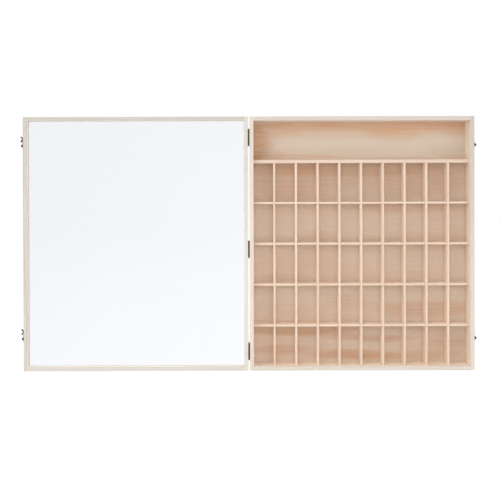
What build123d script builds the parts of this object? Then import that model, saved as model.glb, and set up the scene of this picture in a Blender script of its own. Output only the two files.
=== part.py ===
from build123d import *
import os

# A hinged wooden display case, with its glazed door opened flat beside it. Sizes are in millimetres.
# X runs along the front, Y into the depth and Z up. The origin is the centre of the case's bottom face.

# Case frame and back
case_width = 337.0
case_height = 381.0
case_frame_depth = 40.0
case_board_thickness = 6.0
case_finger_count = 5
back_panel_thickness = 3.0

# Compartments: one open compartment over five rows of ten
top_compartment_height = 58.67
row_count = 5
column_count = 10
top_shelf_thickness = 5.0
top_shelf_housing = 2.0
strip_thickness = 3.0
grid_recess = 10.0
grid_end_clearance = 0.1
cross_lap_clearance = 0.3

# Door frame and pane
door_depth = 15.0
door_board_thickness = 6.0
door_finger_count = 3
door_closed_gap = 0.4
pane_thickness = 2.0
pane_lip = 2.5
pane_groove_depth = 3.0
pane_edge_clearance = 0.5
pane_face_clearance = 0.1

# Hinges
hinge_length = 25.4
hinge_leaf_width = 9.5
hinge_leaf_thickness = 0.5
hinge_leaf_corner_radius = 1.0
hinge_knuckle_count = 3
hinge_knuckle_gap = 0.2
hinge_pin_radius = 0.5
hinge_pin_clearance = 0.05
hinge_pin_overhang = 0.4
hinge_knuckle_to_wood = 0.15
upper_hinge_below_top = 31.4
middle_hinge_below_centre = 8.5
lower_hinge_above_bottom = 29.0

# Hinge screws
screw_head_radius = 1.4
screw_shank_radius = 0.7
screw_length = 5.5
screw_tip_length = 1.5
screw_slot_width = 0.35
screw_slot_depth = 0.3
screw_spacing = 16.0
screw_from_pin = 5.8

# Latches: a hook on the door's free side drops over a peg on the case
upper_latch_below_top = 43.0
lower_latch_above_bottom = 47.7
latch_from_rim = 4.5
latch_plate_thickness = 0.6
latch_plate_centre_radius = 3.6
latch_plate_lobe_radius = 2.8
latch_plate_lobe_offset = 4.1
latch_plate_corner_radius = 0.6
stud_shank_radius = 0.9
stud_head_radius = 2.5
stud_head_height = 2.2
stud_depth_in_wood = 4.0
hook_thickness = 0.6
hook_side_clearance = 0.1
hook_pivot_clearance = 0.06
hook_eye_radius = 2.5
hook_arm_half_width = 1.5
hook_back_height = 4.2
hook_slot_clearance = 0.25
hook_mouth_half_width = 1.7
hook_nose_length = 1.8
hook_nose_radius = 1.1
hook_tab_root = 10.3
hook_tab_root_height = 1.0
hook_tab_low_reach = 5.8
hook_tab_low_height = 4.2
hook_tab_high_reach = 13.8
hook_tab_high_height = 4.2
hook_tab_width = 1.8
hook_tab_thickness = 1.4

# Latch plate nails
nail_head_radius = 1.0
nail_shank_radius = 0.5
nail_length = 5.0
nail_tip_length = 1.2

# Back panel pins
pin_head_radius = 1.2
pin_head_height = 0.6
pin_shank_radius = 0.6
pin_length = 14.0
pin_tip_length = 2.0
pin_count_across = 6
pin_count_up = 7
pin_corner_inset = 22.0

# Planes that the pieces share
case_left = -case_width / 2
case_right = case_width / 2
case_depth = case_frame_depth + back_panel_thickness
rim_y = -case_depth / 2
case_back_y = rim_y + case_frame_depth
inner_left = case_left + case_board_thickness
inner_right = case_right - case_board_thickness
inner_bottom = case_board_thickness
inner_top = case_height - case_board_thickness
top_shelf_top = inner_top - top_compartment_height
top_shelf_bottom = top_shelf_top - top_shelf_thickness
grid_front = rim_y + grid_recess

knuckle_radius = hinge_pin_radius + hinge_pin_clearance + hinge_leaf_thickness
pin_to_face = knuckle_radius + hinge_knuckle_to_wood
pin_x = case_left - pin_to_face
pin_y = rim_y - door_closed_gap / 2
door_right = pin_x - pin_to_face
door_left = door_right - case_width

latch_heights = {
    "upper": case_height - upper_latch_below_top,
    "lower": lower_latch_above_bottom,
}
hinge_heights = {
    "upper": case_height - upper_hinge_below_top,
    "middle": case_height / 2 - middle_hinge_below_centre,
    "lower": lower_hinge_above_bottom,
}


def block(x_low, x_high, y_low, y_high, z_low, z_high):
    """A square-cornered block between two corners."""
    middle = Pos((x_low + x_high) / 2, (y_low + y_high) / 2, (z_low + z_high) / 2)
    return middle * Box(x_high - x_low, y_high - y_low, z_high - z_low)


def turned(*points):
    """A solid turned about the local Z axis, from (radius, height) points."""
    outline = Polyline(*[(radius, 0, height) for radius, height in points], close=True)
    return revolve(make_face(outline), Axis.Z)


def dome(radius, height):
    """A round-topped head that stands on the local XY plane."""
    ball_radius = (radius**2 + height**2) / (2 * height)
    ball = Pos(0, 0, height - ball_radius) * Sphere(ball_radius)
    return ball & (Pos(0, 0, height / 2) * Cylinder(radius, height))


def on_side(shape, x, y, z, outward):
    """Stands a shape on a side face: its Z points outward along X, and its X points up."""
    return Plane(origin=(x, y, z), x_dir=(0, 0, 1), z_dir=(outward, 0, 0)) * shape


def together(solids):
    """Separate solids as one group."""
    return Compound(children=list(solids))


def less(shape, cutters):
    """A shape without each of the cutters."""
    for cutter in cutters:
        shape = shape - cutter
    return shape


def fastener(head_radius, head_height, shank_radius, length, tip_length):
    """A flush, countersunk screw or nail. Its head's top is at the local XY plane."""
    return turned(
        (0, 0),
        (head_radius, 0),
        (shank_radius, -head_height),
        (shank_radius, -length + tip_length),
        (0, -length),
    )


def finger_spans(front, depth, count, first):
    """Where every second finger of a corner joint lies along Y."""
    width = depth / count
    return [(front + i * width, front + (i + 1) * width) for i in range(first, count, 2)]


def frame_boards(left, width, height, front, depth, thickness, fingers):
    """The left, right, top and bottom boards of a finger-jointed frame that stands at z = 0."""
    right = left + width
    back = front + depth
    left_board = block(left, left + thickness, front, back, 0, height)
    right_board = block(right - thickness, right, front, back, 0, height)
    top = block(left, right, front, back, height - thickness, height)
    bottom = block(left, right, front, back, 0, thickness)
    corners_x = ((left, left + thickness), (right - thickness, right))
    corners_z = ((0, thickness), (height - thickness, height))
    for y_low, y_high in finger_spans(front, depth, fingers, 1):
        for z_low, z_high in corners_z:
            left_board -= block(*corners_x[0], y_low, y_high, z_low, z_high)
            right_board -= block(*corners_x[1], y_low, y_high, z_low, z_high)
    for y_low, y_high in finger_spans(front, depth, fingers, 0):
        for x_low, x_high in corners_x:
            top -= block(x_low, x_high, y_low, y_high, *corners_z[1])
            bottom -= block(x_low, x_high, y_low, y_high, *corners_z[0])
    return left_board, right_board, top, bottom


def spread(low, high, count):
    """Evenly spaced values from low to high."""
    return [low + (high - low) * i / (count - 1) for i in range(count)]


def back_pins():
    """The pins that hold the back panel to the middle of each frame board."""
    pin = fastener(pin_head_radius, pin_head_height, pin_shank_radius, pin_length, pin_tip_length)
    half_board = case_board_thickness / 2
    across = spread(case_left + pin_corner_inset, case_right - pin_corner_inset, pin_count_across)
    up = spread(pin_corner_inset, case_height - pin_corner_inset, pin_count_up)
    places = [(x, z) for x in across for z in (half_board, case_height - half_board)]
    places += [(x, z) for x in (case_left + half_board, case_right - half_board) for z in up]
    face = case_back_y + back_panel_thickness
    return [Plane(origin=(x, face, z), z_dir=(0, 1, 0)) * pin for x, z in places]


def grid_positions():
    """The low edges of the dividers along X and of the row shelves along Z."""
    column = (inner_right - inner_left - (column_count - 1) * strip_thickness) / column_count
    row = (top_shelf_bottom - inner_bottom - (row_count - 1) * strip_thickness) / row_count
    divider_x = [inner_left + i * (column + strip_thickness) - strip_thickness for i in range(1, column_count)]
    shelf_z = [inner_bottom + i * (row + strip_thickness) - strip_thickness for i in range(1, row_count)]
    return divider_x, shelf_z


def grid():
    """Row shelves, slotted from the front, and dividers, slotted from behind, that lock together."""
    divider_x, shelf_z = grid_positions()
    lap_y = (grid_front + case_back_y) / 2
    slack = cross_lap_clearance / 2
    shelves = []
    for z in shelf_z:
        shelf = block(
            inner_left + grid_end_clearance,
            inner_right - grid_end_clearance,
            grid_front,
            case_back_y,
            z,
            z + strip_thickness,
        )
        for x in divider_x:
            shelf -= block(
                x - slack, x + strip_thickness + slack, grid_front, lap_y, z, z + strip_thickness
            )
        shelves.append(shelf)
    dividers = []
    for x in divider_x:
        divider = block(
            x,
            x + strip_thickness,
            grid_front,
            case_back_y,
            inner_bottom,
            top_shelf_bottom - grid_end_clearance,
        )
        for z in shelf_z:
            divider -= block(
                x, x + strip_thickness, lap_y, case_back_y, z - slack, z + strip_thickness + slack
            )
        dividers.append(divider)
    return shelves, dividers


def knuckle_spans(centre_z, first):
    """Where every second knuckle of a hinge lies along Z, with a gap to its neighbours."""
    low = centre_z - hinge_length / 2
    pitch = hinge_length / hinge_knuckle_count
    spans = []
    for i in range(first, hinge_knuckle_count, 2):
        start = low + i * pitch + (hinge_knuckle_gap / 2 if i > 0 else 0)
        end = low + (i + 1) * pitch - (hinge_knuckle_gap / 2 if i < hinge_knuckle_count - 1 else 0)
        spans.append((start, end))
    return spans


def hinge_leaf(side, centre_z, first_knuckle, bore_radius):
    """A leaf on the case (side 1) or on the door (side -1), with its own knuckles round the pin."""
    face_x = pin_x + side * pin_to_face
    x_low, x_high = sorted((face_x, face_x - side * hinge_leaf_thickness))
    root_y = pin_y + pin_to_face
    z_low = centre_z - hinge_length / 2
    z_high = centre_z + hinge_length / 2
    leaf = block(x_low, x_high, root_y, pin_y + hinge_leaf_width, z_low, z_high)
    far_corners = leaf.edges().filter_by(Axis.X).group_by(Axis.Y)[-1]
    leaf = fillet(far_corners, hinge_leaf_corner_radius)
    for low, high in knuckle_spans(centre_z, first_knuckle):
        leaf += block(x_low, x_high, pin_y, root_y, low, high)
        leaf += Pos(pin_x, pin_y, (low + high) / 2) * Cylinder(knuckle_radius, high - low)
    return leaf - Pos(pin_x, pin_y, centre_z) * Cylinder(bore_radius, 2 * hinge_length)


def hinge_pin(centre_z):
    """A pin that shows a little past both ends of its hinge."""
    return Pos(pin_x, pin_y, centre_z) * Cylinder(hinge_pin_radius, hinge_length + 2 * hinge_pin_overhang)


def hinge_screw():
    """A countersunk screw that fills its hole in a leaf, without its slot."""
    return fastener(
        screw_head_radius, hinge_leaf_thickness, screw_shank_radius, screw_length, screw_tip_length
    )


def at_screw_places(shape, side):
    """Copies of a shape at the screws of all leaves on the case (side 1) or on the door (side -1)."""
    leaf_x = pin_x + side * (pin_to_face - hinge_leaf_thickness)
    return [
        on_side(shape, leaf_x, pin_y + screw_from_pin, centre_z + offset, -side)
        for centre_z in hinge_heights.values()
        for offset in (-screw_spacing / 2, screw_spacing / 2)
    ]


def latch_plate():
    """A thin plate with a round middle and two lobes."""
    outline = Circle(latch_plate_centre_radius)
    for end in (-1, 1):
        outline += Pos(end * latch_plate_lobe_offset, 0) * Circle(latch_plate_lobe_radius)
    outline = fillet(outline.vertices(), latch_plate_corner_radius)
    return extrude(outline, latch_plate_thickness)


def latch_stud():
    """A stud through its plate into the wood, with a domed head that holds the hook."""
    head_base = latch_plate_thickness + hook_thickness + 2 * hook_side_clearance
    shank_length = head_base + stud_depth_in_wood
    shank = Pos(0, 0, head_base - shank_length / 2) * Cylinder(stud_shank_radius, shank_length)
    return shank + Pos(0, 0, head_base) * dome(stud_head_radius, stud_head_height)


def latch_nails(x, y, outward):
    """The nails in the lobes of both plates on one side face."""
    nail = fastener(
        nail_head_radius, latch_plate_thickness, nail_shank_radius, nail_length, nail_tip_length
    )
    head_x = x + outward * latch_plate_thickness
    return [
        on_side(nail, head_x, y, z + end * latch_plate_lobe_offset, outward)
        for z in latch_heights.values()
        for end in (-1, 1)
    ]


def hook():
    """A flat hook that points along local X, with its slot open towards -Y and a finger tab bent up."""
    peg_reach = 2 * latch_from_rim + door_closed_gap
    slot_radius = stud_shank_radius + hook_slot_clearance
    tip = peg_reach + slot_radius + hook_nose_length
    arm = make_face(
        Polyline(
            (0, -hook_arm_half_width),
            (tip, -hook_arm_half_width),
            (tip, hook_back_height),
            (hook_tab_low_reach, hook_back_height),
            (0, hook_arm_half_width),
            close=True,
        )
    )
    tip_corners = arm.vertices().group_by(Axis.X)[-1]
    outline = fillet(tip_corners, hook_nose_radius) + Circle(hook_eye_radius)
    mouth = make_face(
        Polyline(
            (peg_reach - slot_radius, 0),
            (peg_reach - hook_mouth_half_width, -2 * hook_arm_half_width),
            (peg_reach + hook_mouth_half_width, -2 * hook_arm_half_width),
            (peg_reach + slot_radius, 0),
            close=True,
        )
    )
    outline -= mouth + Pos(peg_reach, 0) * Circle(slot_radius)
    outline -= Circle(stud_shank_radius + hook_pivot_clearance)
    tab_line = Polyline(
        (hook_tab_low_reach, hook_tab_low_height),
        (hook_tab_root, hook_tab_root_height),
        (hook_tab_high_reach, hook_tab_high_height),
    )
    tab_far = hook_back_height + hook_tab_width
    tab_near = hook_back_height - hook_tab_thickness
    tab = extrude(
        Plane.XZ.offset(-tab_far) * trace(tab_line, hook_tab_thickness), tab_far - tab_near
    )
    return extrude(outline, hook_thickness) + tab


# Case boards
case_boards = frame_boards(
    case_left, case_width, case_height, rim_y, case_frame_depth, case_board_thickness, case_finger_count
)
left_side_board, right_side_board, top_board, bottom_board = case_boards
top_shelf = block(
    inner_left - top_shelf_housing,
    inner_right + top_shelf_housing,
    grid_front,
    case_back_y,
    top_shelf_bottom,
    top_shelf_top,
)
back_panel = block(case_left, case_right, case_back_y, case_back_y + back_panel_thickness, 0, case_height)
row_shelves, dividers = grid()

# Door boards and pane
door_boards = frame_boards(
    door_left, case_width, case_height, rim_y, door_depth, door_board_thickness, door_finger_count
)
door_latch_stile, door_hinge_stile, door_top_rail, door_bottom_rail = door_boards
pane_far = rim_y + door_depth - pane_lip
pane_margin = door_board_thickness - pane_groove_depth
pane_space = block(
    door_left + pane_margin,
    door_right - pane_margin,
    pane_far - pane_thickness - 2 * pane_face_clearance,
    pane_far,
    pane_margin,
    case_height - pane_margin,
)
pane_inset = pane_margin + pane_edge_clearance
acrylic_pane = block(
    door_left + pane_inset,
    door_right - pane_inset,
    pane_far - pane_face_clearance - pane_thickness,
    pane_far - pane_face_clearance,
    pane_inset,
    case_height - pane_inset,
)

# Latches and their nails
latch_y = rim_y + latch_from_rim
latch_nail_set = latch_nails(door_left, latch_y, -1)
catch_nail_set = latch_nails(case_right, latch_y, 1)
latch_rivets = {key: on_side(latch_stud(), door_left, latch_y, z, -1) for key, z in latch_heights.items()}
catch_pegs = {key: on_side(latch_stud(), case_right, latch_y, z, 1) for key, z in latch_heights.items()}

# Hinge screws, and the same screws unslotted to cut their holes
slotted_screw = hinge_screw() - Box(3 * screw_head_radius, screw_slot_width, 2 * screw_slot_depth)
case_screw_holes = at_screw_places(hinge_screw(), 1)
door_screw_holes = at_screw_places(hinge_screw(), -1)

# Holes for what is screwed, nailed or let in
pins = back_pins()
left_side_board = less(left_side_board, [top_shelf, *case_screw_holes, *pins])
right_side_board = less(right_side_board, [top_shelf, *catch_nail_set, *catch_pegs.values(), *pins])
top_board = less(top_board, pins)
bottom_board = less(bottom_board, pins)
back_panel = less(back_panel, pins)
door_hinge_stile = less(door_hinge_stile, [pane_space, *door_screw_holes])
door_latch_stile = less(door_latch_stile, [pane_space, *latch_nail_set, *latch_rivets.values()])
door_top_rail = less(door_top_rail, [pane_space])
door_bottom_rail = less(door_bottom_rail, [pane_space])

parts = {
    "left_side_board": left_side_board,
    "right_side_board": right_side_board,
    "top_board": top_board,
    "bottom_board": bottom_board,
    "back_panel": back_panel,
    "back_panel_pins": together(pins),
    "top_shelf": top_shelf,
    "door_hinge_stile": door_hinge_stile,
    "door_latch_stile": door_latch_stile,
    "door_top_rail": door_top_rail,
    "door_bottom_rail": door_bottom_rail,
    "acrylic_pane": acrylic_pane,
    "hinge_case_screws": together(at_screw_places(slotted_screw, 1)),
    "hinge_door_screws": together(at_screw_places(slotted_screw, -1)),
    "latch_plate_nails": together(latch_nail_set),
    "catch_plate_nails": together(catch_nail_set),
}
for number, shelf in enumerate(reversed(row_shelves), 1):
    parts[f"row_shelf_{number}"] = shelf
for number, divider in enumerate(dividers, 1):
    parts[f"divider_{number}"] = divider
for key, centre_z in hinge_heights.items():
    case_leaf = hinge_leaf(1, centre_z, 0, hinge_pin_radius)
    door_leaf = hinge_leaf(-1, centre_z, 1, hinge_pin_radius + hinge_pin_clearance)
    parts[f"hinge_case_leaf_{key}"] = less(case_leaf, case_screw_holes)
    parts[f"hinge_door_leaf_{key}"] = less(door_leaf, door_screw_holes)
    parts[f"hinge_pin_{key}"] = hinge_pin(centre_z)
for key, z in latch_heights.items():
    plate_on_door = on_side(latch_plate(), door_left, latch_y, z, -1)
    plate_on_case = on_side(latch_plate(), case_right, latch_y, z, 1)
    parts[f"latch_plate_{key}"] = less(plate_on_door, [latch_rivets[key], *latch_nail_set])
    parts[f"catch_plate_{key}"] = less(plate_on_case, [catch_pegs[key], *catch_nail_set])
    parts[f"latch_rivet_{key}"] = latch_rivets[key]
    parts[f"catch_peg_{key}"] = catch_pegs[key]
    hook_x = door_left - latch_plate_thickness - hook_side_clearance
    parts[f"hook_{key}"] = on_side(hook(), hook_x, latch_y, z, -1)

os.makedirs("parts", exist_ok=True)
for name, shape in parts.items():
    export_step(shape, f"parts/{name}.step")
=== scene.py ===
import math
import random

import bpy
from mathutils import Euler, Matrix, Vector


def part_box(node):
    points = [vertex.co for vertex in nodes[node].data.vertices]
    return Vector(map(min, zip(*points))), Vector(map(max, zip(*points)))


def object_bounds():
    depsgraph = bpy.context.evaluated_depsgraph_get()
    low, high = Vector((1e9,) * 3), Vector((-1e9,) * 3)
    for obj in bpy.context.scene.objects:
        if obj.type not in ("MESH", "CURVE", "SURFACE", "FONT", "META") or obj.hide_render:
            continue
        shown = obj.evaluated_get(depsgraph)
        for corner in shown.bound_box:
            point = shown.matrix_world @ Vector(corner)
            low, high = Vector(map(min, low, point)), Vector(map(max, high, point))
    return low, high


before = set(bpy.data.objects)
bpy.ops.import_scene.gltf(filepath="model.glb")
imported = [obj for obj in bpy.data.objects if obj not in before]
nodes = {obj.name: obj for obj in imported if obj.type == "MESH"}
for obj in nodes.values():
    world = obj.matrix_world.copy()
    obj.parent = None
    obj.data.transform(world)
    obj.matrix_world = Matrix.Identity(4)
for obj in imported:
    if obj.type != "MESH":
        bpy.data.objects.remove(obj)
cad_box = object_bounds()
X, Y, Z = 0, 1, 2
MM = 0.001

# Sockets that Blender numbers: of Map Range, of Mix on colours, and the outputs of Texture Coordinate
VALUE, FROM_LOW, FROM_HIGH, TO_LOW, TO_HIGH = range(5)
FACTOR, FIRST_COLOUR, SECOND_COLOUR, MIXED_COLOUR = 0, 6, 7, 2
GENERATED, NORMAL, OBJECT = 0, 1, 3

# Camera, fitted to the photograph. Its side, level row and focal length are in pixels, its place is in metres
# and its angles are in degrees. The distance is assumed, and the depth of the case goes with it.
photo_side = 500
level_row = 185.3
focal_pixels = 1004.7
camera_distance = 1.504
camera_x = -0.1678
camera_height = 0.278
camera_tilt = 0.4
camera_roll = 0.16
sensor_width = 36.0  # mm

# Light: each share is of the level at which a colour renders as it is written. The world has world_level in
# front and rises to backdrop_level where the Y part of its direction is backdrop_full.
key_share = 0.21
left_share = 0.355
right_share = 0.13
top_share = 0.215
low_share = 0.3
world_level = 0.45
backdrop_level = 1.2
backdrop_full = 0.4
floor_side = 16.0
floor_white = 0.94
floor_shade = 0.08
floor_bounce = 0.82

# Boards: noise scales along and across the grain, per metre
drift_scales = (5, 26)
broad_scales = (6, 45)
fibre_scales = (45, 1500)
canal_scales = (160, 2600)
rub_scale = 140

# Back panel: noise scales along each axis, per metre, and the span of its drift, in metres
panel_drift_scales = (5, 40, 17)
panel_broad_scales = (5, 90, 22)
panel_streak_scales = (9, 60, 260)
panel_fibre_scales = (50, 900, 1500)
panel_canal_scales = (170, 900, 2400)
panel_drift_span = (0.09, 0.0, 0.024)

# Where the late wood starts, is full and ends, as parts of a year's growth, and its strength in single years
board_late = (0.35, 0.9, 0.94)
panel_late = (0.2, 0.85, 0.88)
year_range = (0.45, 1.0)

# Boards: how far the pith lies from the board's middle, in metres, how squarely a face has to look along an
# axis to count as facing it, and the marks on end grain and worn edges
pith_aside = 0.05
pith_away = (0.03, 0.09)
facing_start = 0.6
facing_full = 0.95
end_grain_strength = 0.55
end_grain_rough = 0.12
worn_width = 1.3 * MM
worn_strength = 0.35

# Wood: its relief, its gloss, and how far the noises are shifted at random so that no two pieces match
shift_reach = 50
late_relief = 0.5
canal_relief = 0.6
grain_height = 0.08 * MM
grain_strength = 0.35
wood_gloss = 0.3

# How far each kind of edge is rounded, what counts as one, and what is joined first
board_edge_radius = 0.3 * MM
strip_edge_radius = 0.18 * MM
hardware_edge_radius = 0.12 * MM
edge_segments = 2
sharp_angle = math.radians(40)
flat_angle = math.radians(0.5)
weld_distance = 0.001 * MM


def linear(red, green, blue):
    """A colour of 0 to 255 as the light that it stands for, with an alpha of 1."""
    values = [value / 255 for value in (red, green, blue)]
    return (*[v / 12.92 if v <= 0.04045 else ((v + 0.055) / 1.055) ** 2.4 for v in values], 1.0)


class Graph:
    """The shader nodes of one material. Each method adds a node and returns its output."""

    def __init__(self, tree):
        self.tree = tree
        tree.nodes.clear()

    def add(self, kind, inputs, output=0, **settings):
        node = self.tree.nodes.new("ShaderNode" + kind)
        for key, value in settings.items():
            setattr(node, key, value)
        for socket, value in inputs.items():
            if isinstance(value, bpy.types.NodeSocket):
                self.tree.links.new(value, node.inputs[socket])
            else:
                node.inputs[socket].default_value = value
        return node.outputs[output]

    def math(self, operation, a, b=0.0, clamp=False):
        return self.add("Math", {0: a, 1: b}, operation=operation, use_clamp=clamp)

    def step(self, value, low, high, start=0.0, end=1.0):
        """A smooth rise from start to end as the value goes from low to high."""
        inputs = {VALUE: value, FROM_LOW: low, FROM_HIGH: high, TO_LOW: start, TO_HIGH: end}
        return self.add("MapRange", inputs, interpolation_type="SMOOTHSTEP")

    def spread(self, value, start, end):
        """A value of 0 to 1 spread evenly from start to end."""
        return self.add("MapRange", {VALUE: value, TO_LOW: start, TO_HIGH: end})

    def mix(self, factor, a, b, blend="MIX"):
        inputs = {FACTOR: factor, FIRST_COLOUR: a, SECOND_COLOUR: b}
        return self.add("Mix", inputs, output=MIXED_COLOUR, data_type="RGBA", blend_type=blend)

    def shade(self, colour, value, start, end):
        """A colour made lighter or darker, by start to end, as the value goes from 0 to 1."""
        amount = self.spread(value, start, end)
        grey = self.add("CombineColor", {0: amount, 1: amount, 2: amount})
        return self.mix(1.0, colour, grey, "MULTIPLY")

    def painted_rise(self, colour, point, foot, head):
        """A colour with painted shade from foot, at the floor, to head, at the top of the case."""
        height = self.math("DIVIDE", self.axes(point)[Z], cad_box[1].z, clamp=True)
        return self.shade(colour, height, foot, head)

    def place(self):
        """The point on the object, in metres in the row frame, wherever its body has moved."""
        return self.add("TexCoord", {}, output=OBJECT)

    def normal(self):
        """The way that the surface faces, in the axes of the row frame, wherever its body has moved."""
        return self.add("TexCoord", {}, output=NORMAL)

    def stretch(self, point, scale, shift=(0.0, 0.0, 0.0)):
        """The point scaled along each axis, then shifted."""
        return self.add("VectorMath", {0: point, 1: scale, 2: shift}, operation="MULTIPLY_ADD")

    def axes(self, vector):
        parts = self.add("SeparateXYZ", {0: vector}).node
        return [parts.outputs[i] for i in range(3)]

    def noise(self, point, scale=1.0, detail=2.0, roughness=0.5, distortion=0.0, output=0):
        inputs = {
            "Vector": point,
            "Scale": scale,
            "Detail": detail,
            "Roughness": roughness,
            "Distortion": distortion,
        }
        return self.add("TexNoise", inputs, output=output)

    def bump(self, height, distance, strength=1.0):
        inputs = {"Height": height, "Distance": distance, "Strength": strength}
        return self.add("Bump", inputs)

    def finish(self, surface):
        out = self.tree.nodes.new("ShaderNodeOutputMaterial")
        self.tree.links.new(surface, out.inputs["Surface"])


def material(name):
    """A new material and the graph that fills it."""
    made = bpy.data.materials.new(name)
    made.use_nodes = True
    return made, Graph(made.node_tree)


def dress(node, made):
    """Gives a carried-over node its material in every slot."""
    for slot in nodes[node].material_slots:
        slot.material = made


def edge_mask(graph, point, low, high, width):
    """1 along the edges of a box and 0 away from them."""
    offset = graph.stretch(point, (1, 1, 1), tuple(-(low + high) / 2))
    total = -1.0
    for axis, part in enumerate(graph.axes(offset)):
        inside = graph.math("SUBTRACT", (high[axis] - low[axis]) / 2, graph.math("ABSOLUTE", part))
        total = graph.math("ADD", graph.step(inside, 0.0, width, 1.0, 0.0), total)
    return graph.math("MAXIMUM", total, 0.0)


def along_across(grain, along, across):
    """A scale for each axis: one along the grain and another across it."""
    return tuple(along if axis == grain else across for axis in range(3))


def random_shift(draw):
    return tuple(draw.uniform(-shift_reach, shift_reach) for _ in range(3))


def late_wood(graph, years, start, full, end):
    """0 to 1 in each year's growth: a slow rise from start to full, and a quick fall after end."""
    growth = graph.math("FRACT", years)
    return graph.math("MULTIPLY", graph.step(growth, start, full), graph.step(growth, end, 1.0, 1.0, 0.0))


def finish_wood(node, made, graph, colour, rough, height):
    """Gives the piece its wood: colour, roughness and the relief of the grain."""
    surface = graph.add(
        "BsdfPrincipled",
        {
            "Base Color": colour,
            "Roughness": rough,
            "Specular IOR Level": wood_gloss,
            "Normal": graph.bump(height, grain_height, grain_strength),
        },
    )
    graph.finish(surface)
    dress(node, made)


def pine(node, grain, tones, painted_edge_shade, seed):
    """Solid pine: growth rings round a pith beside the board, fibres, resin canals and end grain,
    with painted shade on its faces that look along Y and from the foot to the head of the case.
    """
    draw = random.Random(seed)
    made, graph = material(f"{node}_wood")
    low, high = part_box(node)
    point = graph.place()
    shift = random_shift(draw)

    # The rings bend slowly along the grain
    drift = graph.noise(graph.stretch(point, along_across(grain, *drift_scales), shift), detail=1.5, output=1)
    wander = graph.add("VectorMath", {0: drift, 1: (0.5, 0.5, 0.5)}, operation="SUBTRACT")
    wander = graph.add("VectorMath", {0: wander, 3: tones["wander"]}, operation="SCALE")
    warped = graph.add("VectorMath", {0: point, 1: wander}, operation="ADD")
    centre = (low + high) / 2
    across = [axis for axis in (X, Y, Z) if axis != grain]
    pith = [draw.uniform(-pith_aside, pith_aside), draw.choice((-1, 1)) * draw.uniform(*pith_away)]
    parts = graph.axes(warped)
    squares = []
    for axis, away in zip(across, pith):
        side = graph.math("SUBTRACT", parts[axis], centre[axis] + away)
        squares.append(graph.math("MULTIPLY", side, side))
    radius = graph.math("SQRT", graph.math("ADD", *squares))
    rings = graph.math("DIVIDE", radius, tones["ring"])
    year = graph.add("TexWhiteNoise", {"W": graph.math("FLOOR", rings)}, noise_dimensions="1D")
    late = graph.math("MULTIPLY", late_wood(graph, rings, *board_late), graph.spread(year, *year_range))

    # Broad tone, fibres and short dark resin canals
    broad = graph.noise(graph.stretch(point, along_across(grain, *broad_scales), shift), detail=3)
    fibre_point = graph.stretch(point, along_across(grain, *fibre_scales), shift)
    fibre = graph.noise(fibre_point, detail=3, roughness=0.6)
    canal = graph.noise(graph.stretch(point, along_across(grain, *canal_scales), shift), detail=0)
    canal = graph.step(canal, 0.72, 0.8)

    facing = graph.axes(graph.normal())
    end_grain = graph.step(graph.math("ABSOLUTE", facing[grain]), facing_start, facing_full)
    rim = graph.step(graph.math("ABSOLUTE", facing[Y]), facing_start, facing_full)
    edges = edge_mask(graph, point, low, high, worn_width)
    rub = graph.noise(graph.stretch(point, (rub_scale, rub_scale, rub_scale), shift), detail=3)

    colour = graph.mix(graph.step(broad, 0.25, 0.75), tones["pale"], tones["warm"])
    colour = graph.mix(graph.math("MULTIPLY", late, tones["ring_strength"]), colour, tones["late"])
    colour = graph.shade(colour, fibre, 0.93, 1.05)
    colour = graph.mix(graph.math("MULTIPLY", canal, tones["canal_strength"]), colour, tones["late"])
    colour = graph.mix(graph.math("MULTIPLY", end_grain, end_grain_strength), colour, tones["end"])
    worn = graph.math("MULTIPLY", edges, graph.step(rub, 0.35, 0.75))
    colour = graph.mix(graph.math("MULTIPLY", worn, worn_strength), colour, tones["late"])
    # Painted shade on the faces that look along Y, then painted shade from foot to head
    painted_edge = graph.mix(1.0, colour, (*painted_edge_shade, 1.0), "MULTIPLY")
    painted_edge = graph.painted_rise(painted_edge, point, *painted_edge_rises.get(node, (1.0, 1.0)))
    colour = graph.mix(rim, colour, painted_edge)
    colour = graph.painted_rise(colour, point, *painted_face_rises.get(node, tones["rise"]))

    height = graph.math("ADD", graph.math("MULTIPLY", late, late_relief), fibre)
    height = graph.math("SUBTRACT", height, graph.math("MULTIPLY", canal, canal_relief))
    rough = graph.math("SUBTRACT", graph.spread(fibre, 0.58, 0.78), graph.math("MULTIPLY", late, 0.08))
    rough = graph.math("ADD", rough, graph.math("MULTIPLY", end_grain, end_grain_rough))
    finish_wood(node, made, graph, colour, rough, height)


def patches(graph, point, places):
    """Up to 1 in soft patches of the XZ plane. Each has its centre and half sizes in mm, and a strength."""
    x, _, z = graph.axes(point)
    total = 0.0
    for centre_x, centre_z, half_x, half_z, strength in places:
        across = graph.math("DIVIDE", graph.math("SUBTRACT", x, centre_x * MM), half_x * MM)
        up = graph.math("DIVIDE", graph.math("SUBTRACT", z, centre_z * MM), half_z * MM)
        squares = [graph.math("MULTIPLY", side, side) for side in (across, up)]
        near = graph.step(graph.math("ADD", *squares), 0.0, 1.6, strength, 0.0)
        total = graph.math("ADD", near, total)
    return graph.math("MINIMUM", total, 1.0)


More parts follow.
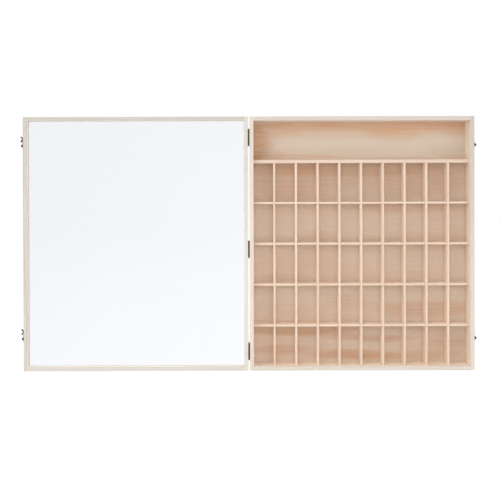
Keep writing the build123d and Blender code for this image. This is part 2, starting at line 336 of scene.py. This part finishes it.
def veneer(node, tones, seed):
    """Rotary-cut pine plywood: level wavy figure, warm patches, three plies on its edges, and patches of
    painted shade and painted light.
    """
    draw = random.Random(seed)
    made, graph = material(f"{node}_wood")
    low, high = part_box(node)
    point = graph.place()
    shift = random_shift(draw)

    # A slow drift bends the figure and makes the patches ragged
    drift = graph.noise(graph.stretch(point, panel_drift_scales, shift), detail=2.5, output=1)
    drift = graph.add("VectorMath", {0: drift, 1: (0.5, 0.5, 0.5)}, operation="SUBTRACT")
    drift = graph.add("VectorMath", {0: drift, 1: panel_drift_span}, operation="MULTIPLY")
    bent = graph.add("VectorMath", {0: point, 1: drift}, operation="ADD")
    streak = graph.noise(graph.stretch(bent, panel_streak_scales, shift), detail=3, roughness=0.6)
    fibre = graph.noise(graph.stretch(point, panel_fibre_scales, shift), detail=3, roughness=0.6)
    canal = graph.noise(graph.stretch(point, panel_canal_scales, shift), detail=0)
    canal = graph.step(canal, 0.7, 0.78)
    broad = graph.noise(graph.stretch(bent, panel_broad_scales, shift), detail=2)

    # Late-wood lines run level, and bend round the patches like contours
    warmth = patches(graph, bent, tones["warm_patches"])
    lines = graph.math("DIVIDE", graph.axes(bent)[Z], tones["line_spacing"])
    lines = graph.math("ADD", lines, graph.math("MULTIPLY", warmth, tones["contours"]))
    lines = graph.math("ADD", lines, graph.math("MULTIPLY", broad, tones["waves"]))
    late = late_wood(graph, lines, *panel_late)
    warmth = graph.math("MULTIPLY", warmth, graph.spread(streak, 0.15, 1.35), clamp=True)

    colour = graph.mix(graph.step(broad, 0.3, 0.7), tones["pale"], tones["warm"])
    # Painted shade, together with some of the panel's own greyer tone, in the grey patches
    colour = graph.mix(patches(graph, bent, tones["grey_and_shade_patches"]), colour, tones["grey"])
    # Painted light in the pale patch at the left end
    colour = graph.mix(patches(graph, bent, tones["painted_light_patches"]), colour, tones["light"])
    colour = graph.mix(warmth, colour, tones["late"])
    strength = graph.math("MULTIPLY", late, graph.spread(warmth, 0.06, 0.62))
    colour = graph.mix(strength, colour, tones["late"])
    colour = graph.shade(colour, streak, 0.93, 1.05)
    colour = graph.shade(colour, fibre, 0.94, 1.05)
    colour = graph.mix(graph.math("MULTIPLY", canal, tones["canal_strength"]), colour, tones["late"])
    # Painted shade from the foot to the head of the case
    colour = graph.painted_rise(colour, point, *tones["rise"])

    # The three plies show on the panel's edges
    depth = graph.math("SUBTRACT", graph.axes(point)[Y], (low[Y] + high[Y]) / 2)
    ply = (high[Y] - low[Y]) / 3
    core = graph.step(graph.math("ABSOLUTE", depth), 0.42 * ply, 0.55 * ply, 1.0, 0.0)
    facing = graph.math("ABSOLUTE", graph.axes(graph.normal())[Y])
    edge = graph.step(facing, 0.3, 0.6, 1.0, 0.0)
    colour = graph.mix(graph.math("MULTIPLY", graph.math("MULTIPLY", core, edge), 0.8), colour, tones["end"])

    height = graph.math("ADD", graph.math("MULTIPLY", late, late_relief), fibre)
    finish_wood(node, made, graph, colour, graph.spread(fibre, 0.55, 0.78), height)


def metal(name, dark, bright, low_rough, high_rough, patina, metallic=1.0, gloss=0.5):
    """Cast or rolled metal with a mottled patina and rubbed spots."""
    made, graph = material(name)
    point = graph.place()
    mottle = graph.noise(point, scale=900, detail=4, roughness=0.6)
    grime = graph.noise(point, scale=260, detail=3)
    rubbed = graph.step(mottle, 0.45, 0.72)
    colour = graph.mix(rubbed, dark, bright)
    colour = graph.mix(graph.math("MULTIPLY", graph.step(grime, 0.5, 0.7), patina), colour, dark)
    scratch = graph.noise(graph.stretch(point, (900, 900, 9000)), detail=2)
    surface = graph.add(
        "BsdfPrincipled",
        {
            "Base Color": colour,
            "Metallic": metallic,
            "Specular IOR Level": gloss,
            "Roughness": graph.spread(mottle, high_rough, low_rough),
            "Normal": graph.bump(graph.math("ADD", mottle, scratch), 0.03 * MM, 0.5),
        },
    )
    graph.finish(surface)
    return made


def acrylic(node):
    """Clear acrylic with a faint painted shade, dark at the upper left and light at the lower right, and
    hairline scratches. Lamps shine through it.
    """
    made, graph = material(f"{node}_clear")
    low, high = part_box(node)
    point = graph.place()
    x, _, z = graph.axes(point)
    # Painted shade: the tint darkens towards the upper left, with a slow wobble
    painted_shade_slant = graph.math("SUBTRACT", graph.math("SUBTRACT", x, low.x), graph.math("SUBTRACT", z, low.z))
    painted_shade_slant = graph.add("MapRange", {VALUE: painted_shade_slant, FROM_LOW: low.z - high.z, FROM_HIGH: high.x - low.x})
    painted_shade_wobble = graph.noise(point, scale=7, detail=3)
    painted_shade_slant = graph.math("ADD", painted_shade_slant, graph.spread(painted_shade_wobble, -0.15, 0.15), clamp=True)
    colour = graph.mix(painted_shade_slant, linear(240, 241, 245), linear(249, 250, 252))
    smear = graph.noise(graph.stretch(point, (60, 60, 9)), detail=4, roughness=0.65)
    scratch = graph.noise(graph.stretch(point, (2200, 40, 60)), detail=1)
    scratch = graph.step(scratch, 0.7, 0.76)
    rough = graph.math("ADD", graph.spread(smear, 0.01, 0.06), graph.math("MULTIPLY", scratch, 0.1))
    glass = graph.add(
        "BsdfPrincipled",
        {
            "Base Color": colour,
            "Roughness": rough,
            "IOR": 1.49,
            "Transmission Weight": 1.0,
            "Normal": graph.bump(graph.math("ADD", smear, scratch), 0.01 * MM, 0.15),
        },
    )
    clear = graph.add("BsdfTransparent", {"Color": (0.94, 0.945, 0.95, 1)})
    path = graph.add("LightPath", {}).node
    passing = graph.math("MAXIMUM", path.outputs["Is Shadow Ray"], path.outputs["Is Diffuse Ray"])
    graph.finish(graph.add("MixShader", {0: passing, 1: glass, 2: clear}))
    dress(node, made)


def soften(node, radius):
    """Rounds a carried-over node's sharp edges a little, inside its own shape."""
    made = nodes[node]
    weld = made.modifiers.new("weld", "WELD")
    weld.merge_threshold = weld_distance
    flat = made.modifiers.new("flat", "DECIMATE")
    flat.decimate_type = "DISSOLVE"
    flat.angle_limit = flat_angle
    bevel = made.modifiers.new("edges", "BEVEL")
    bevel.width = radius
    bevel.segments = edge_segments
    bevel.limit_method = "ANGLE"
    bevel.angle_limit = sharp_angle


def seen_white(graph, path):
    """1 for rays that show the background: to the camera, off metal and through glass."""
    shown = graph.math("MAXIMUM", path.outputs["Is Camera Ray"], path.outputs["Is Glossy Ray"])
    return graph.math("MAXIMUM", shown, path.outputs["Is Transmission Ray"])


def make_world():
    world = bpy.data.worlds.new("studio")
    world.use_nodes = True
    graph = Graph(world.node_tree)
    path = graph.add("LightPath", {}).node
    behind = graph.axes(graph.add("TexCoord", {}, output=GENERATED))[Y]
    level = graph.step(behind, 0.0, backdrop_full, world_level, backdrop_level)
    fill = graph.add("Background", {"Color": (1, 1, 1, 1), "Strength": level})
    white = graph.add("Background", {"Color": (1, 1, 1, 1), "Strength": 1.0})
    both = graph.add("MixShader", {0: seen_white(graph, path), 1: fill, 2: white})
    out = graph.tree.nodes.new("ShaderNodeOutputWorld")
    graph.tree.links.new(both, out.inputs["Surface"])
    bpy.context.scene.world = world


def make_floor():
    """A pale floor that shows white, with a faint shadow of the object."""
    reach = floor_side / 2
    corners = [(-reach, -reach, 0), (reach, -reach, 0), (reach, reach, 0), (-reach, reach, 0)]
    mesh = bpy.data.meshes.new("floor")
    mesh.from_pydata(corners, [], [(0, 1, 2, 3)])
    floor = bpy.data.objects.new("floor", mesh)
    bpy.context.scene.collection.objects.link(floor)
    made, graph = material("floor_white")
    path = graph.add("LightPath", {}).node
    plain = graph.add("BsdfDiffuse", {"Color": (floor_bounce, floor_bounce, floor_bounce, 1)})
    faint = graph.add("BsdfDiffuse", {"Color": (floor_shade, floor_shade, floor_shade, 1)})
    glow = graph.add("Emission", {"Color": (1, 1, 1, 1), "Strength": floor_white})
    shown = graph.add("AddShader", {0: faint, 1: glow})
    graph.finish(graph.add("MixShader", {0: seen_white(graph, path), 1: plain, 2: shown}))
    mesh.materials.append(made)


def softbox(name, place, target, width, height, share):
    """A soft lamp that faces the target and gives it that share of the plain level."""
    data = bpy.data.lights.new(name, "AREA")
    data.shape = "RECTANGLE"
    data.size = width
    data.size_y = height
    way = Vector(target) - Vector(place)
    data.energy = share * math.pi**2 * way.length_squared
    lamp = bpy.data.objects.new(name, data)
    lamp.location = place
    lamp.rotation_euler = way.to_track_quat("-Z", "Y").to_euler()
    lamp.visible_camera = False
    lamp.visible_glossy = False
    lamp.visible_transmission = False
    bpy.context.scene.collection.objects.link(lamp)


def make_camera():
    data = bpy.data.cameras.new("camera")
    data.sensor_width = sensor_width
    data.lens = focal_pixels * sensor_width / photo_side
    tilt = math.radians(camera_tilt)
    level_above_centre = photo_side / 2 - level_row
    data.shift_y = -(level_above_centre - focal_pixels * math.tan(tilt)) / photo_side
    camera = bpy.data.objects.new("camera", data)
    rim_y = cad_box[0].y
    camera.location = (camera_x, rim_y - camera_distance, camera_height)
    camera.rotation_euler = Euler((math.pi / 2 - tilt, math.radians(camera_roll), 0), "XYZ")
    bpy.context.scene.collection.objects.link(camera)
    bpy.context.scene.camera = camera


# Tones of the wood: colours, the spacing and strength of its rings, how far they wander, and its painted
# shade from the foot to the head of the case
case_tones = {
    "pale": linear(233, 223, 213),
    "warm": linear(229, 216, 202),
    "late": linear(204, 176, 148),
    "end": linear(205, 182, 155),
    "ring": 2.6 * MM,
    "ring_strength": 0.35,
    "canal_strength": 0.3,
    "wander": 9 * MM,
    "rise": (1.05, 0.94),
}
# Painted light: paler case tones for the right and bottom boards, whose inner faces get more light
painted_light_case_tones = dict(
    case_tones,
    pale=linear(246, 231, 217),
    warm=linear(242, 226, 209),
    rise=(1.04, 0.88),
)
door_tones = dict(case_tones, pale=linear(242, 237, 228), warm=linear(239, 232, 221))
strip_tones = dict(
    case_tones,
    pale=linear(243, 226, 211),
    warm=linear(238, 217, 199),
    late=linear(210, 178, 148),
)

# Tones of the back panel: colours, the spacing of its lines, its patches, among them painted shade and
# painted light, and its painted shade from foot to head
veneer_tones = {
    "pale": linear(214, 199, 182),
    "warm": linear(211, 190, 170),
    # grey: the tone of the painted shade patches, partly the panel's own greyer tone
    "grey": linear(196, 182, 166),
    # light: the tone of the painted light patch
    "light": linear(234, 211, 192),
    "late": linear(194, 151, 117),
    "end": linear(150, 108, 74),
    "canal_strength": 0.25,
    "line_spacing": 6.5 * MM,
    "contours": 3.0,
    "waves": 4.0,
    "rise": (1.06, 1.01),
    # Patches: centre x, centre z, half width and half height in mm, and strength
    # Grey patches: painted shade under the top board and at the top of row 1, with the panel's own greyer
    # tone
    "grey_and_shade_patches": [
        (30, 350, 240, 30, 1.0),
        (140, 345, 50, 40, 0.5),
        (0, 308, 200, 14, 0.9),
        (20, 285, 150, 26, 0.45),
    ],
    # Painted light: a paler patch at the left end of the panel
    "painted_light_patches": [(-158, 130, 24, 190, 0.32)],
    # Warm figure; the left end, top band and row 1 and 5 top bands also paint shade from the board above
    "warm_patches": [
        # Top compartment: its left end, the band along its top, an arch and the lower left
        (-165, 338, 26, 34, 0.9),
        (-150, 322, 34, 12, 0.4),
        (-10, 373, 190, 12, 0.85),
        (60, 364, 52, 18, 0.75),
        (147, 364, 48, 14, 0.65),
        (-85, 321, 75, 5, 0.35),
        (-130, 362, 45, 12, 0.45),
        (-40, 358, 90, 12, 0.3),
        (150, 319, 40, 4, 0.25),
        # Row 1
        (-110, 286, 85, 26, 0.45),
        (75, 282, 110, 20, 0.4),
        (10, 304, 180, 13, 0.5),
        # Rows 2 to 4
        (-60, 200, 20, 8, 0.2),
        (-110, 135, 50, 6, 0.25),
        (70, 243, 95, 9, 0.35),
        (110, 86, 80, 14, 0.45),
        (-10, 95, 45, 12, 0.25),
        (-20, 108, 40, 6, 0.15),
        # Row 5
        (-90, 52, 85, 7, 0.65),
        (10, 43, 65, 6, 0.6),
        (-6, 17, 75, 9, 0.75),
        (-125, 24, 50, 8, 0.5),
        (110, 17, 50, 8, 0.35),
        (140, 38, 45, 12, 0.35),
        (90, 55, 60, 8, 0.2),
    ],
}

# Each piece of solid wood, with the axis of its grain
case_boards = {"left_side_board": Z, "top_board": X}
painted_light_boards = {"right_side_board": Z, "bottom_board": X}
door_boards = {"door_hinge_stile": Z, "door_latch_stile": Z, "door_top_rail": X, "door_bottom_rail": X}
strips = {"top_shelf": X}
strips.update({name: X for name in nodes if name.startswith("row_shelf")})
strips.update({name: Z for name in nodes if name.startswith("divider")})

# Painted shade: the tone of each board's faces that look along Y, against the rest of it
painted_edge_shades = {
    "left_side_board": (0.82, 0.82, 0.82),
    "right_side_board": (0.66, 0.69, 0.73),
    "top_board": (0.76, 0.76, 0.77),
    "bottom_board": (0.71, 0.76, 0.80),
    "door_top_rail": (0.61, 0.61, 0.61),
    "door_latch_stile": (0.61, 0.60, 0.60),
    "door_hinge_stile": (0.70, 0.71, 0.73),
    "door_bottom_rail": (0.68, 0.68, 0.70),
    "top_shelf": (0.76, 0.73, 0.70),
}
# Painted shade on the front edges of the shelves and dividers
strip_painted_edge_shade = (0.80, 0.76, 0.72)

# Painted shade from the foot to the head of the case: of whole boards, in place of their tones' own, and a
# second painted shade on their faces that look along Y
painted_face_rises = {"door_latch_stile": (1.02, 1.04)}
painted_edge_rises = {
    "right_side_board": (1.13, 0.97),
    "door_latch_stile": (1.08, 0.87),
    "door_hinge_stile": (1.04, 0.975),
}

first_seed = 11
veneer_seed = 7
wood_sets = (
    (case_boards, case_tones),
    (painted_light_boards, painted_light_case_tones),
    (door_boards, door_tones),
    (strips, strip_tones),
)
seed = first_seed
for boards, tones in wood_sets:
    for board in sorted(boards):
        seed += 1
        pine(board, boards[board], tones, painted_edge_shades.get(board, strip_painted_edge_shade), seed)
        soften(board, strip_edge_radius if boards is strips else board_edge_radius)
veneer("back_panel", veneer_tones, veneer_seed)

hinge_metal = metal("hinge_metal", linear(66, 60, 48), linear(128, 116, 92), 0.3, 0.5, 0.6)
latch_metal = metal("latch_metal", linear(10, 9, 8), linear(46, 40, 32), 0.45, 0.7, 0.8, 0.1, 0.1)
steel = metal("pin_steel", linear(150, 148, 145), linear(205, 204, 202), 0.22, 0.4, 0.3)
for name in nodes:
    if name.startswith("hinge"):
        dress(name, hinge_metal)
    elif name.startswith(("latch", "catch", "hook")):
        dress(name, latch_metal)
    if name.startswith(("hinge_case_leaf", "hinge_door_leaf", "latch_plate_", "catch_plate_", "hook")):
        if not name.endswith("nails"):
            soften(name, hardware_edge_radius)
dress("back_panel_pins", steel)
acrylic("acrylic_pane")

make_world()
make_floor()
make_camera()
# Each lamp: its name, place, target, width, height and share of the plain level
middle = (0.0, 0.0, 0.19)
lamps = (
    ("key", (-0.05, -1.9, 0.48), middle, 1.0, 0.8, key_share),
    ("left", (-1.49, -1.34, 0.80), middle, 1.8, 1.4, left_share),
    ("right", (1.25, -1.6, 0.73), middle, 1.3, 1.3, right_share),
    ("top", (-0.17, -0.95, 2.0), middle, 1.4, 1.0, top_share),
    ("low", (-0.17, -0.5, 0.03), (-0.17, 0.0, 0.15), 1.2, 0.15, low_share),
)
for lamp in lamps:
    softbox(*lamp)

view = bpy.context.scene.view_settings
view.view_transform = "Standard"
